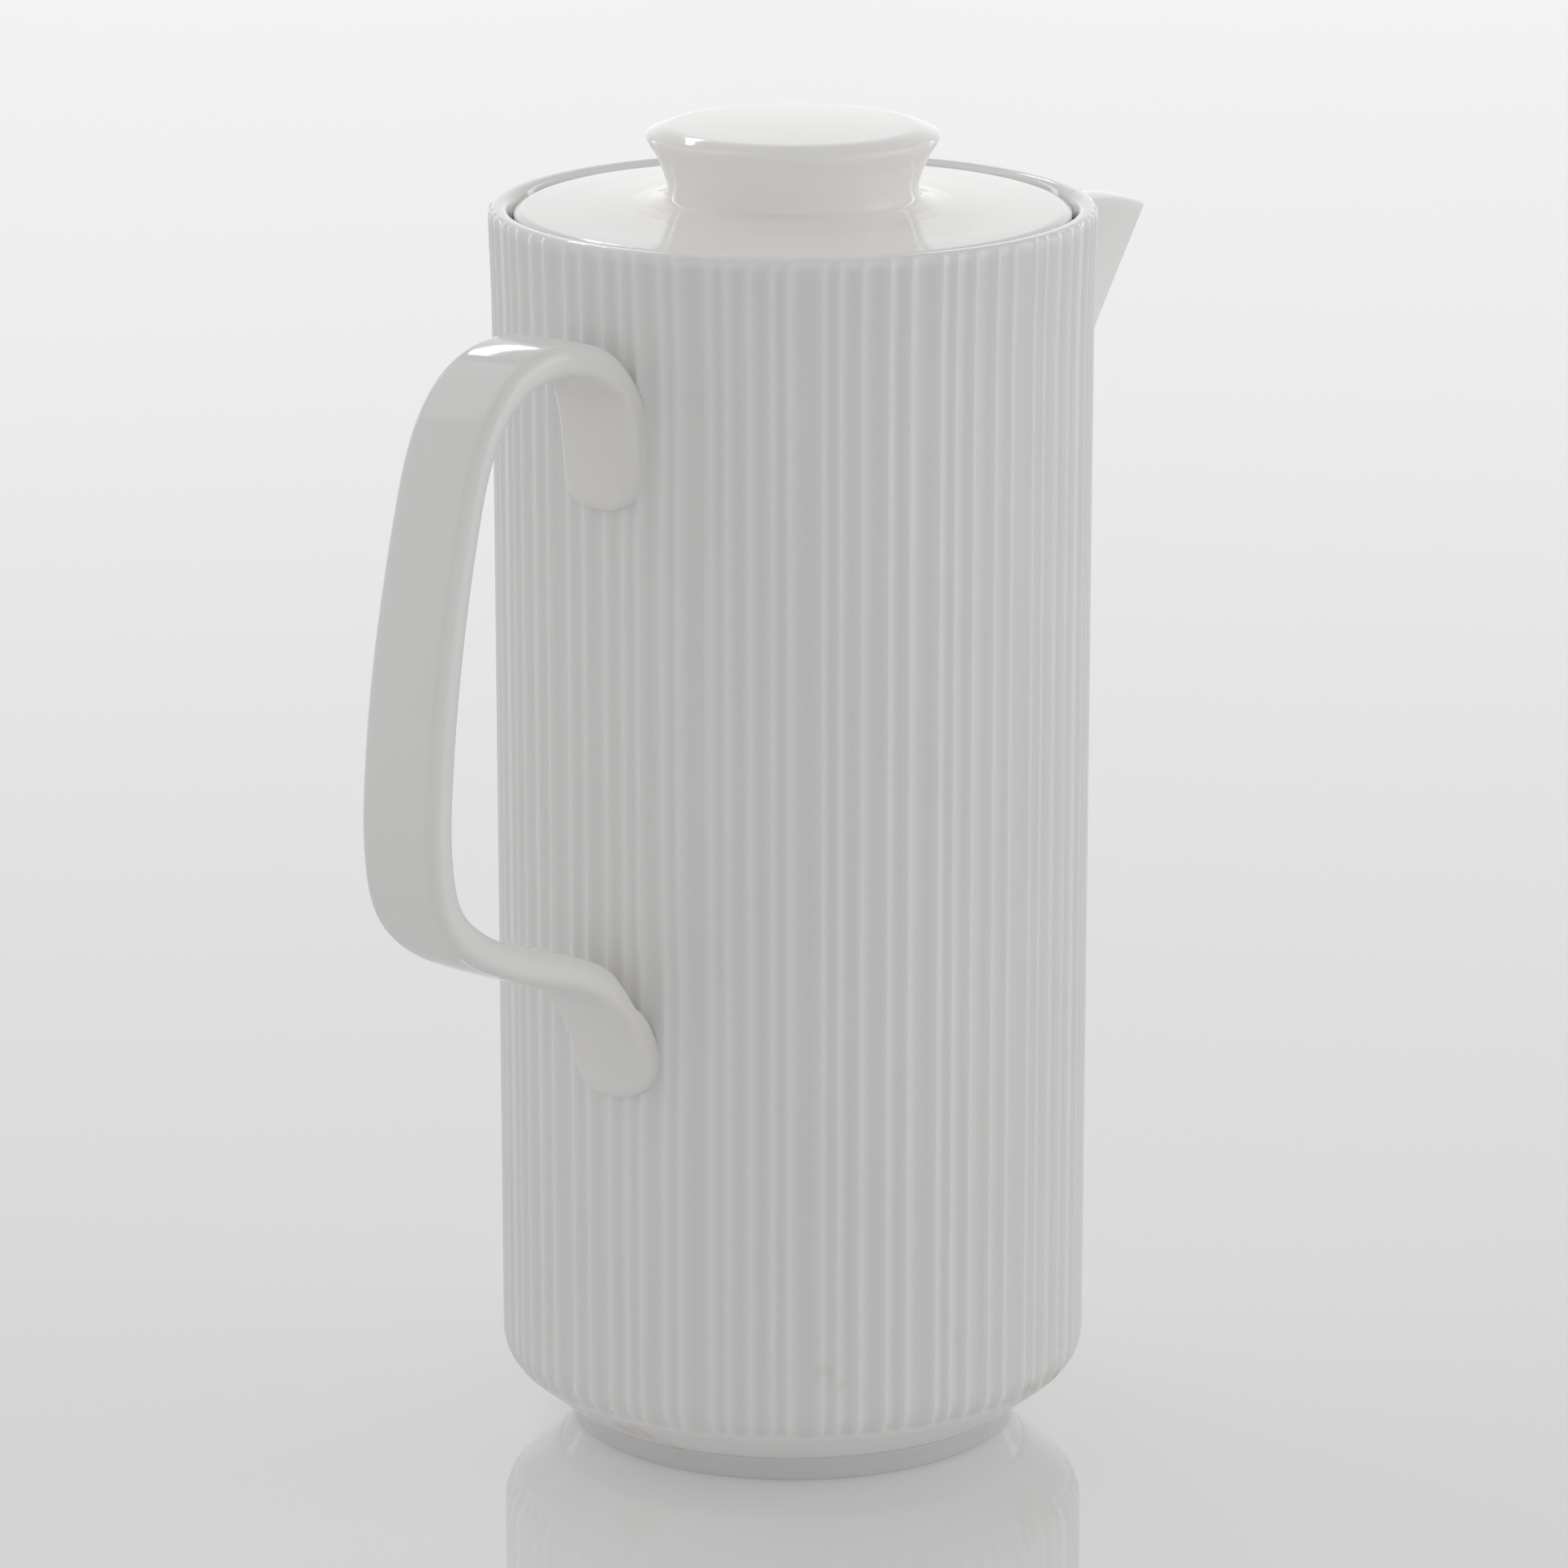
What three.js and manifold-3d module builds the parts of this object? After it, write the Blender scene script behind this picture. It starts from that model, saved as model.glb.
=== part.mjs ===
// A tall porcelain coffee pot with a fluted cylindrical body, a beak spout, a strap handle and a
// lift-off lid. Millimetres, +Z up. The origin is on the body's axis, on the table.
// The handle points along -X and the spout along +X.
import * as THREE from "three";
import { mergeVertices } from "three/addons/utils/BufferGeometryUtils.js";
import Module from "manifold-3d";

// Driving dimensions.
const BODY_R = 51.4; // over the flutes' ridges, at the top of the wall
const RIM_R = 52; // over the rim, which flares a little
const FLARE_H = 17; // how far down from the rim the flare starts
const FOOT_END_R = 51.1; // over the ridges where the wall turns in to the foot
const WALL = 4; // from the ridges to the inside
const RIM_Z = 216.3; // crest of the rim
const BASE_Z = 5.1; // flat underside of the body, inside the foot ring
const FLOOR_Z = 9.5; // inside floor
const CORNER_Z = 16.3; // where the straight wall ends
const CORNER_R = 7.3; // round corner above the foot
const CONE = THREE.MathUtils.degToRad(51.2); // how far the corner turns before the cone under it
const FOOT_R = 40.6; // outside of the foot ring, at its top
const FOOT_FLAT = [34.5, 37.8]; // inner and outer radius of the face it stands on
const LEDGE_Z = 211.2; // top of the ledge that holds the lid
const LEDGE_R = 44.4; // inside of the ledge
const GALLERY_R = 48.4; // inside of the rim, above the ledge
const LID_R = 47.5;
const LID_T = 4; // lid's thickness at its edge
const COLLAR_R = [40.6, 43.7]; // inner and outer radius of the ring that locates the lid
const COLLAR_H = 13;
const NECK_R = 21.3; // narrowest part of the knob
const KNOB_R = 24.9; // widest part of the knob
const KNOB_Z = 227.9; // height of the widest part
const TOP_Z = 230.7; // top of the knob
const KNOB_BORE_R = 17.5; // hollow of the knob, open below through the lid
const STRAP_W = 16.2; // handle strap
const STRAP_T = 5.6;
const HANDLE_REACH = 104.75; // from the axis to the handle's outer face
const SPOUT_REACH = 102.3; // from the axis to the spout's tip
const SPOUT_TIP_Z = 202;
const SPOUT_ROOT_Z = 120.1;
const SPOUT_BOW = 3.2; // how far the keel bows in from a straight line
const SPOUT_LIP_Z = 215.9; // where the spout's lips meet the wall
const SPOUT_HALF_W = 30; // half the spout's width where its lips meet the wall
const SPOUT_WALL = 3.2;
const SPOUT_NOSE_R = 1.7; // outside of the keel
const GAP = 0.3; // between pieces that touch

// Flutes. Their widths follow a rhythm of four sizes, in units that add up to one turn.
const FLUTE_DEPTH = 0.45;
const UNITS = { W: 6, M: 5, N: 4, S: 3 };
const PHRASE = { A: "WSNMN", B: "WSNNS", C: "MS", D: "WNMNS" };
const RHYTHM = [..."DCBAAAAAACAAAAAAA"].map((letter) => PHRASE[letter]).join("");
const FIRST_RIDGE = THREE.MathUtils.degToRad(164.9);

const wasm = await Module();
wasm.setup();

// A closed geometry as a manifold solid.
function toSolid(geometry) {
  const bare = geometry.clone();
  bare.deleteAttribute("normal");
  bare.deleteAttribute("uv");
  const merged = mergeVertices(bare, 1e-4);
  const index = merged.index.array;
  const faces = [];
  for (let i = 0; i < index.length; i += 3) {
    const [a, b, c] = [index[i], index[i + 1], index[i + 2]];
    if (a !== b && b !== c && c !== a) faces.push(a, b, c);
  }
  return new wasm.Manifold(
    new wasm.Mesh({
      numProp: 3,
      vertProperties: merged.attributes.position.array,
      triVerts: new Uint32Array(faces),
    }),
  );
}

// A manifold solid as a geometry.
function toGeometry(solid) {
  const mesh = solid.getMesh();
  const geometry = new THREE.BufferGeometry();
  geometry.setAttribute("position", new THREE.BufferAttribute(new Float32Array(mesh.vertProperties), 3));
  geometry.setIndex(new THREE.BufferAttribute(new Uint32Array(mesh.triVerts), 1));
  geometry.computeVertexNormals();
  return geometry;
}

// A body of revolution about Z. The profile is a list of [radius, z], anticlockwise round its area.
function turned(profile, segments) {
  const points = profile.map(([r, z]) => new THREE.Vector2(r, z));
  return new THREE.LatheGeometry(points, segments).rotateX(Math.PI / 2);
}

// The profile's points along an arc in the r-z plane, angles in radians from +r towards +z.
function arc(centreR, centreZ, radius, from, to, steps) {
  const points = [];
  for (let i = 0; i <= steps; i++) {
    const angle = from + ((to - from) * i) / steps;
    points.push([centreR + radius * Math.cos(angle), centreZ + radius * Math.sin(angle)]);
  }
  return points;
}

// A solid through rings of [x, y, z] points, all of one length and anticlockwise seen from above.
function lofted(rings) {
  const count = rings[0].length;
  const index = [];
  for (let level = 0; level + 1 < rings.length; level++) {
    for (let i = 0; i < count; i++) {
      const j = (i + 1) % count;
      const [low, high] = [level * count, (level + 1) * count];
      index.push(low + i, low + j, high + j, low + i, high + j, high + i);
    }
  }
  const last = (rings.length - 1) * count;
  const outline = rings[0].map(([x, y]) => new THREE.Vector2(x, y));
  for (const [a, b, c] of THREE.ShapeUtils.triangulateShape(outline, [])) {
    index.push(c, b, a, last + a, last + b, last + c);
  }
  const geometry = new THREE.BufferGeometry();
  geometry.setAttribute("position", new THREE.Float32BufferAttribute(rings.flat(2), 3));
  geometry.setIndex(index);
  return geometry;
}

// The azimuths of each flute's ridge and of its middle, in turn, once round the pot.
function fluteAzimuths() {
  const total = [...RHYTHM].reduce((sum, letter) => sum + UNITS[letter], 0);
  const azimuths = [];
  let at = 0;
  for (const letter of RHYTHM) {
    azimuths.push(at, at + UNITS[letter] / 2);
    at += UNITS[letter];
  }
  return azimuths.map((units) => FIRST_RIDGE + (units / total) * 2 * Math.PI);
}

// Moves a turned body's columns to the ridges and middles of the flutes, and sinks each middle
// between the two heights where the flutes end.
function fluted(geometry, azimuths, low, high) {
  const position = geometry.attributes.position;
  const columns = azimuths.length;
  for (let i = 0; i < position.count; i++) {
    const [x, y, z] = [position.getX(i), position.getY(i), position.getZ(i)];
    const radius = Math.hypot(x, y);
    const turn = (Math.atan2(y, x) / (2 * Math.PI) + 1.25) % 1;
    const column = Math.round(turn * columns) % columns;
    const outside = radius > BODY_R - 2 && z > low && z < high;
    const moved = outside && column % 2 === 1 ? radius - FLUTE_DEPTH : radius;
    const azimuth = azimuths[column];
    position.setXYZ(i, moved * Math.cos(azimuth), moved * Math.sin(azimuth), z);
  }
  return geometry;
}

// Half the spout's width and its reach at a height, for its outside.
function spoutPlan(z) {
  const rise = (z - SPOUT_ROOT_Z) / (RIM_Z - SPOUT_ROOT_Z);
  const keel = (z - SPOUT_ROOT_Z) / (SPOUT_TIP_Z - SPOUT_ROOT_Z);
  const bow = SPOUT_BOW * Math.sin(Math.PI * Math.min(keel, 1));
  return { half: SPOUT_HALF_W * rise, reach: BODY_R + (SPOUT_REACH - BODY_R) * keel - bow };
}

// The spout's outline at a height, or that of its channel when inset is its wall's thickness.
function spoutRing(z, inset) {
  const { half, reach } = spoutPlan(z);
  const rootX = Math.sqrt(BODY_R ** 2 - half ** 2);
  const slope = Math.atan2(half, reach - rootX);
  const nose = reach - inset / Math.max(Math.sin(slope), 0.5);
  const noseR = inset > 0 ? 1.2 : SPOUT_NOSE_R;
  const centreX = nose - noseR;
  const backX = 36;
  const side = Math.PI / 2 - slope;
  const tangentX = centreX + noseR * Math.cos(side);
  const tangentY = noseR * Math.sin(side);
  const backY = tangentY + (tangentX - backX) * Math.tan(slope);
  const ring = [[backX, -backY, z]];
  for (let i = -3; i <= 3; i++) {
    const angle = (side * i) / 3;
    ring.push([centreX + noseR * Math.cos(angle), noseR * Math.sin(angle), z]);
  }
  ring.push([backX, backY, z]);
  return ring;
}

// The wedge inside the spout's outline, up to above the rim.
function spoutWedge(inset) {
  const rings = [];
  const low = SPOUT_ROOT_Z + 1 + inset * 1.6;
  const high = RIM_Z + 6;
  for (let i = 0; i <= 12; i++) {
    rings.push(spoutRing(low + ((high - low) * i) / 12, inset));
  }
  return toSolid(lofted(rings));
}

// What is cut away from the spout and the handle, to keep them clear of the wall.
function clearOfWall() {
  const apart = GAP + 0.1;
  const profile = [
    [0, 40],
    [BODY_R + apart, 40],
    [BODY_R + apart, RIM_Z - FLARE_H],
    [RIM_R + apart, RIM_Z - 1.8],
    [RIM_R + apart, RIM_Z + 24],
    [0, RIM_Z + 24],
  ];
  return toSolid(turned(profile, 96));
}

// An outline in the Y-Z plane, given as a list of [y, z], pushed along X.
function alongX(outline, low, high) {
  const shape = new THREE.Shape(outline.map(([y, z]) => new THREE.Vector2(y, z)));
  const geometry = new THREE.ExtrudeGeometry(shape, { depth: high - low, bevelEnabled: false });
  geometry.applyMatrix4(new THREE.Matrix4().set(0, 0, 1, low, 1, 0, 0, 0, 0, 1, 0, 0, 0, 0, 0, 1));
  return toSolid(geometry);
}

// The hole in the wall that the spout covers: an egg with its narrow end down.
function pouringHole() {
  const outline = [];
  for (let i = 0; i < 28; i++) {
    const angle = (i / 28) * 2 * Math.PI;
    const half = 11 + 3.5 * Math.sin(angle);
    outline.push([half * Math.cos(angle), 184 + 19 * Math.sin(angle)]);
  }
  return alongX(outline, 38, 60);
}

function potBody() {
  const cornerX = FOOT_END_R - CORNER_R;
  const corner = arc(cornerX, CORNER_Z, CORNER_R, -CONE, 0, 4);
  const [coneR, coneZ] = corner[0];
  const creaseR = coneR - (coneZ - BASE_Z) * Math.tan(CONE);
  const inner = BODY_R - WALL;
  const profile = [
    [0, BASE_Z],
    [creaseR, BASE_Z],
    ...corner,
    [BODY_R, RIM_Z - FLARE_H],
    [RIM_R - 0.1, RIM_Z - 3.2],
    [RIM_R, RIM_Z - 1.8],
    [RIM_R - 0.4, RIM_Z - 0.6],
    [RIM_R - 1.4, RIM_Z],
    [GALLERY_R + 0.4, RIM_Z - 0.5],
    [GALLERY_R, RIM_Z - 2],
    [GALLERY_R, LEDGE_Z - 0.2],
    [inner, LEDGE_Z - 0.8],
    [inner, FLOOR_Z + 9],
    [inner - 2.6, FLOOR_Z + 2.7],
    [inner - 9, FLOOR_Z],
    [0, FLOOR_Z],
  ];
  const azimuths = fluteAzimuths();
  const shell = fluted(turned(profile, azimuths.length), azimuths, CORNER_Z - 3, RIM_Z - 3);
  return toGeometry(toSolid(shell).subtract(pouringHole()));
}

function footRing() {
  const top = BASE_Z - GAP;
  const [inside, outside] = FOOT_FLAT;
  const profile = [
    [inside, 0],
    [outside, 0],
    [outside + 0.8, 0.5],
    [outside + 1.9, 2.8],
    [FOOT_R, top],
    [inside - 1, top],
    [inside - 0.6, 0.7],
    [inside, 0],
  ];
  return turned(profile, 72);
}

function lidLedge() {
  const outside = BODY_R - WALL - GAP - 0.1;
  const profile = [
    [outside, LEDGE_Z - 4.7],
    [outside, LEDGE_Z],
    [LEDGE_R, LEDGE_Z],
    [LEDGE_R, LEDGE_Z - 1.6],
    [outside, LEDGE_Z - 4.7],
  ];
  return turned(profile, 72);
}

function spout() {
  const rootX = Math.sqrt(BODY_R ** 2 - SPOUT_HALF_W ** 2);
  const lipSlope = Math.atan2(SPOUT_LIP_Z - SPOUT_TIP_Z, SPOUT_REACH - rootX);
  const above = new THREE.BoxGeometry(200, 120, 40);
  above.translate(0, 0, 20).rotateY(lipSlope).translate(SPOUT_REACH, 0, SPOUT_TIP_Z);
  const shell = spoutWedge(0).subtract(spoutWedge(SPOUT_WALL));
  return toGeometry(shell.subtract(clearOfWall()).subtract(toSolid(above)));
}

// Rounds the bottom of a handle's pad: what is cut away round an elliptic tongue centred on y.
function tongueCutter(y, bottom, half, rise) {
  const outline = [
    [-20, bottom - 12],
    [20, bottom - 12],
    [20, bottom + rise],
  ];
  for (let i = 0; i <= 12; i++) {
    const angle = (Math.PI * i) / 12;
    outline.push([y + half * Math.cos(angle), bottom + rise * (1 - Math.sin(angle))]);
  }
  outline.push([-20, bottom + rise]);
  return alongX(outline, -61, -40);
}

// The strap's middle line, as [distance from the axis, z, y], from the end of the upper pad to the
// end of the lower one, which is luted on slightly to one side.
const STRAP_LINE = [
  [51.1, 166],
  [51.2, 180],
  [52.6, 190],
  [58.3, 197.7],
  [67.3, 200.7],
  [77.3, 199.9],
  [84.9, 195.4],
  [90.4, 187],
  [94.6, 173.5],
  [98.4, 156.5],
  [100.8, 140.4],
  [HANDLE_REACH - STRAP_T / 2, 125.4],
  [99.5, 113.9],
  [92.5, 106.6],
  [80.8, 100.9],
  [69, 97],
  [61, 93.3, -0.4],
  [55, 87.2, -1.3],
  [52, 78.5, -2.1],
  [51.1, 64, -2.5],
];

function handle() {
  const points = STRAP_LINE.map(([r, z, y = 0]) => new THREE.Vector3(-r, y, z));
  const line = new THREE.CatmullRomCurve3(points);
  const section = new THREE.Shape();
  const [half, round] = [STRAP_W / 2, STRAP_T / 2];
  section.absarc(half - round, 0, round, -Math.PI / 2, Math.PI / 2, false);
  section.absarc(-half + round, 0, round, Math.PI / 2, (3 * Math.PI) / 2, false);
  const options = { steps: 60, curveSegments: 4, extrudePath: line, bevelEnabled: false };
  const strap = toSolid(new THREE.ExtrudeGeometry(section, options));
  const upper = tongueCutter(0, 172, half, 6.5);
  const lower = tongueCutter(-2.4, 70.7, half, 9);
  return toGeometry(strap.subtract(clearOfWall()).subtract(upper).subtract(lower));
}

function lidDisc() {
  const under = LEDGE_Z + GAP;
  const top = under + LID_T;
  const profile = [
    [KNOB_BORE_R, under + 1.4],
    [COLLAR_R[0] - 1.4, under + 1.4],
    [COLLAR_R[0] - 0.4, under],
    [LID_R - 0.4, under],
    [LID_R, under + 0.6],
    [LID_R, top - 0.9],
    [LID_R - 0.3, top - 0.2],
    [LID_R - 1.1, top],
    [NECK_R + 3.6, top + 1.3],
    [KNOB_BORE_R, top + 1.3],
    [KNOB_BORE_R, under + 1.4],
  ];
  return turned(profile, 72);
}

function lidCollar() {
  const [inside, outside] = COLLAR_R;
  const low = LEDGE_Z - COLLAR_H;
  const profile = [
    [inside + 0.8, low],
    [outside - 0.8, low],
    [outside, low + 0.8],
    [outside, LEDGE_Z],
    [inside, LEDGE_Z],
    [inside, low + 0.8],
    [inside + 0.8, low],
  ];
  return turned(profile, 72);
}

function lidKnob() {
  const foot = LEDGE_Z + GAP + LID_T + 1.3 + GAP;
  const profile = [
    [KNOB_BORE_R, foot],
    [NECK_R + 2.6, foot],
    [NECK_R + 0.9, foot + 0.7],
    [NECK_R, foot + 2.3],
    [NECK_R + 0.2, KNOB_Z - 7.5],
    [NECK_R + 1.4, KNOB_Z - 4.1],
    [KNOB_R - 1.4, KNOB_Z - 2.4],
    [KNOB_R - 0.5, KNOB_Z - 1.4],
    [KNOB_R, KNOB_Z],
    [KNOB_R - 0.7, KNOB_Z + 1.2],
    [KNOB_R * 0.8, TOP_Z - 0.8],
    [KNOB_R * 0.4, TOP_Z - 0.2],
    [0, TOP_Z],
    [0, TOP_Z - 4],
    [KNOB_BORE_R - 1.5, TOP_Z - 4.6],
    [KNOB_BORE_R, TOP_Z - 6.5],
    [KNOB_BORE_R, foot],
  ];
  return turned(profile, 64);
}

// One named mesh with a material of its own.
function piece(name, geometry, color, roughness) {
  const material = new THREE.MeshStandardMaterial({ color, roughness, metalness: 0 });
  const mesh = new THREE.Mesh(geometry, material);
  mesh.name = name;
  return mesh;
}

const pot = new THREE.Group();
pot.add(
  piece("pot_body", potBody(), 0xdfe3e6, 0.12),
  piece("foot_ring", footRing(), 0xe6e4de, 0.35),
  piece("lid_ledge", lidLedge(), 0xe0e2e2, 0.14),
  piece("spout", spout(), 0xe2e4e4, 0.12),
  piece("handle", handle(), 0xe4e4e2, 0.1),
);

const lid = new THREE.Group();
lid.add(
  piece("lid_disc", lidDisc(), 0xe8e8e6, 0.1),
  piece("lid_collar", lidCollar(), 0xe4e4e1, 0.14),
  piece("lid_knob", lidKnob(), 0xeaeae8, 0.09),
);

const coffeePot = new THREE.Group();
coffeePot.add(pot, lid);

export default coffeePot;
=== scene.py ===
"""The looks of a tall porcelain coffee pot: fluted body, beak spout, strap handle and lift-off lid.

Shapes are worked out in millimetres, in the CAD model's frame, and turned into metres when a mesh
is made. The places of the pieces come from the boxes of the CAD nodes that they stand for.
"""
import math

import bpy
import numpy as np
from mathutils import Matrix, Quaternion, Vector


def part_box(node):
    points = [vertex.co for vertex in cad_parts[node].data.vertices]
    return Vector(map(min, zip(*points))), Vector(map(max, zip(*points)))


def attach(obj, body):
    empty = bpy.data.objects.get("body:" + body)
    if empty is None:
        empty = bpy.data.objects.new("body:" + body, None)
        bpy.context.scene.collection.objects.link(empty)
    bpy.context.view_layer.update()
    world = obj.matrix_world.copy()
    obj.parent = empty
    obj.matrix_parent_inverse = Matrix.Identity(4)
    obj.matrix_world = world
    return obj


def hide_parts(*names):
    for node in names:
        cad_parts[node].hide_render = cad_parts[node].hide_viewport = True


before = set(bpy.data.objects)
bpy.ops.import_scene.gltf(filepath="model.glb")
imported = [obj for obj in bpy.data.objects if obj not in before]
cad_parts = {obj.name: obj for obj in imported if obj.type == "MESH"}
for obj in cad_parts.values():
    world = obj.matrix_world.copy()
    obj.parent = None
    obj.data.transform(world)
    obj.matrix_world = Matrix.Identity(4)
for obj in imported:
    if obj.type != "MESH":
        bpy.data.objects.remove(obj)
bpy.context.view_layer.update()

MM = 1000.0  # millimetres in a metre


def box_mm(node):
    """A CAD node's lowest and highest corners, in millimetres."""
    low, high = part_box(node)
    return np.array(low) * MM, np.array(high) * MM


# ---------------------------------------------------------------- sizes, from the frame

INSIDE_BOX = 0.02  # how far the wall keeps inside the CAD model's box
RIM_FLARE = 0.6  # how much wider the rim is than the wall
CROWN_DROP = 0.25  # how far the knob's crown keeps below the CAD model's top

BODY_LOW, BODY_HIGH = box_mm("pot_body")
RIM_Z = BODY_HIGH[2]
BASE_Z = BODY_LOW[2]
RIM_R = min(*BODY_HIGH[:2], *-BODY_LOW[:2]) - INSIDE_BOX
BODY_R = RIM_R - RIM_FLARE
FOOT_R = box_mm("foot_ring")[1][0]
LEDGE_Z = box_mm("lid_ledge")[1][2]
LID_LOW, LID_HIGH = box_mm("lid_disc")
LID_R = LID_HIGH[0]
KNOB_HIGH = box_mm("lid_knob")[1]
KNOB_R = KNOB_HIGH[0]
TOP_Z = KNOB_HIGH[2] - CROWN_DROP
COLLAR_LOW = box_mm("lid_collar")[0]
SPOUT_LOW, SPOUT_HIGH = box_mm("spout")
HANDLE_LOW, HANDLE_HIGH = box_mm("handle")

# ---------------------------------------------------------------- other driving sizes, in mm

FLARE_H = 17.0  # how far down from the rim the wall starts to flare
WALL_FOOT_R = BODY_R - 0.3  # over the ridges where the wall turns in to the foot
INNER_R = 47.4  # inside of the wall
GALLERY_R = 48.4  # of the step that the lid's edge stands in, at the ledge
SEAT_LIP_R = LID_R + 0.15  # inside of the rim, beside the lid's edge
FLOOR_Z = 9.5  # top of the floor
CORNER_R = 7.3  # where the wall turns in to the cone
SEAT_R = 49.6  # how deep the handle and the spout are let into the wall
CONE_ANGLE = math.radians(38.8)  # of the cone above the foot, from level
# Where the mesh's columns stand across a flute: close together at the ridges.
COLUMNS_A_FLUTE = (0.0, 0.035, 0.09, 0.17, 0.32, 0.5, 0.68, 0.83, 0.91, 0.965)

# ---------------------------------------------------------------- flutes

# The flutes are of four widths, which follow one another in a few repeated phrases.
UNITS = {"W": 6, "M": 5, "N": 4, "S": 3}
PHRASES = {"A": "WSNMN", "B": "WSNNS", "C": "MS", "D": "WNMNS"}
RHYTHM = "".join(PHRASES[letter] for letter in "DCBAAAAAACAAAAAAA")
FIRST_RIDGE = math.radians(164.9)
WIDTHS = np.array([UNITS[letter] for letter in RHYTHM], float)
EDGES = FIRST_RIDGE + np.concatenate([[0], np.cumsum(WIDTHS)]) / WIDTHS.sum() * 2 * math.pi
FLUTE_DEPTH = 0.5  # of a flute of middling width
MIDDLING_WIDTH = 3.8
RIDGE_ROUND = 0.34  # how soft the ridges between flutes are
HOLLOW_POWER = 2.5  # 2 makes a hollow round, more makes it flatter in the middle


def flute_place(azimuth):
    """For each azimuth, how far it is across its flute, from 0 to 1, and the flute's width in mm."""
    turn = np.mod(np.asarray(azimuth, float) - FIRST_RIDGE, 2 * math.pi) + FIRST_RIDGE
    flute = np.clip(np.searchsorted(EDGES, turn, side="right") - 1, 0, len(WIDTHS) - 1)
    span = EDGES[flute + 1] - EDGES[flute]
    return (turn - EDGES[flute]) / span, span * BODY_R


def flute_depth(azimuth):
    """How far the wall lies below the ridges, in mm: a broad hollow with soft narrow ridges."""
    across, width = flute_place(azimuth)
    from_ridge = (0.5 - np.abs(across - 0.5)) * width
    softened = np.sqrt(from_ridge**2 + RIDGE_ROUND**2) - RIDGE_ROUND
    hollow = 1 - np.clip(1 - softened / (width / 2 - 0.02), 0, 1) ** HOLLOW_POWER
    return FLUTE_DEPTH * (width / MIDDLING_WIDTH) ** 0.5 * hollow


# ---------------------------------------------------------------- profiles

def rounded(corners, step):
    """Points along a line of (r, z, radius) corners, with each corner turned into an arc.

    The arcs' points stand about a step apart, in mm.
    """
    points = [np.array(corners[0][:2], float)]
    for before, (r, z, radius), after in zip(corners, corners[1:], corners[2:]):
        here = np.array([r, z], float)
        back = np.array(before[:2], float) - here
        ahead = np.array(after[:2], float) - here
        back_len, ahead_len = np.linalg.norm(back), np.linalg.norm(ahead)
        back, ahead = back / back_len, ahead / ahead_len
        half = math.acos(np.clip(back @ ahead, -1, 1)) / 2
        if radius <= 0 or half > math.pi / 2 - 0.01:
            points.append(here)
            continue
        cut = min(radius / math.tan(half), 0.49 * back_len, 0.49 * ahead_len)
        radius = cut * math.tan(half)
        centre = here + (back + ahead) / np.linalg.norm(back + ahead) * radius / math.sin(half)
        start, end = here + back * cut - centre, here + ahead * cut - centre
        turn = math.atan2(start[0] * end[1] - start[1] * end[0], start @ end)
        count = max(3, math.ceil(abs(turn) * radius / step))
        for i in range(count + 1):
            angle = turn * i / count
            c, s = math.cos(angle), math.sin(angle)
            points.append(centre + np.array([c * start[0] - s * start[1], s * start[0] + c * start[1]]))
    points.append(np.array(corners[-1][:2], float))
    return np.array(points)


def spaced(line, marks):
    """The points of a polyline at the given distances along it."""
    along = np.concatenate([[0], np.cumsum(np.linalg.norm(np.diff(line, axis=0), axis=1))])
    return np.stack([np.interp(marks, along, line[:, i]) for i in range(line.shape[1])], axis=1)


def length_of(line):
    return float(np.linalg.norm(np.diff(line, axis=0), axis=1).sum())


# ---------------------------------------------------------------- meshes

def make_piece(name, points, faces, material, body=None, slot=None, nodes=()):
    """A smooth mesh from points in mm. A piece of the pot rides on a body in place of CAD nodes."""
    mesh = bpy.data.meshes.new(name)
    mesh.from_pydata((np.asarray(points) / MM).tolist(), [], [list(map(int, f)) for f in faces])
    mesh.validate()
    mesh.polygons.foreach_set("use_smooth", [True] * len(mesh.polygons))
    mesh.update()
    piece = bpy.data.objects.new(name, mesh)
    bpy.context.scene.collection.objects.link(piece)
    mesh.materials.append(material)
    if body:
        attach(piece, body)
        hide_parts(*nodes)
    return piece


def tube_faces(count, around):
    """Faces between rings of points that follow one another."""
    faces = []
    for low in range(0, (count - 1) * around, around):
        high = low + around
        for i in range(around):
            j = (i + 1) % around
            faces.append((low + i, low + j, high + j, high + i))
    return faces


def turned(profile, segments, closed=False):
    """Points and faces of a body of revolution. A profile's ends on the axis become single points."""
    points, rings = [], []
    for r, z in profile:
        if r < 1e-6:
            rings.append([len(points)] * segments)
            points.append((0.0, 0.0, z))
            continue
        rings.append(list(range(len(points), len(points) + segments)))
        for i in range(segments):
            angle = 2 * math.pi * i / segments
            points.append((r * math.cos(angle), r * math.sin(angle), z))
    faces = []
    for low, high in zip(rings, rings[1:] + rings[:1] if closed else rings[1:]):
        for i in range(segments):
            j = (i + 1) % segments
            face = list(dict.fromkeys([low[i], low[j], high[j], high[i]]))
            if len(face) > 2:
                faces.append(face)
    return np.array(points), faces


# ---------------------------------------------------------------- the wall, and what joins it

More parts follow.
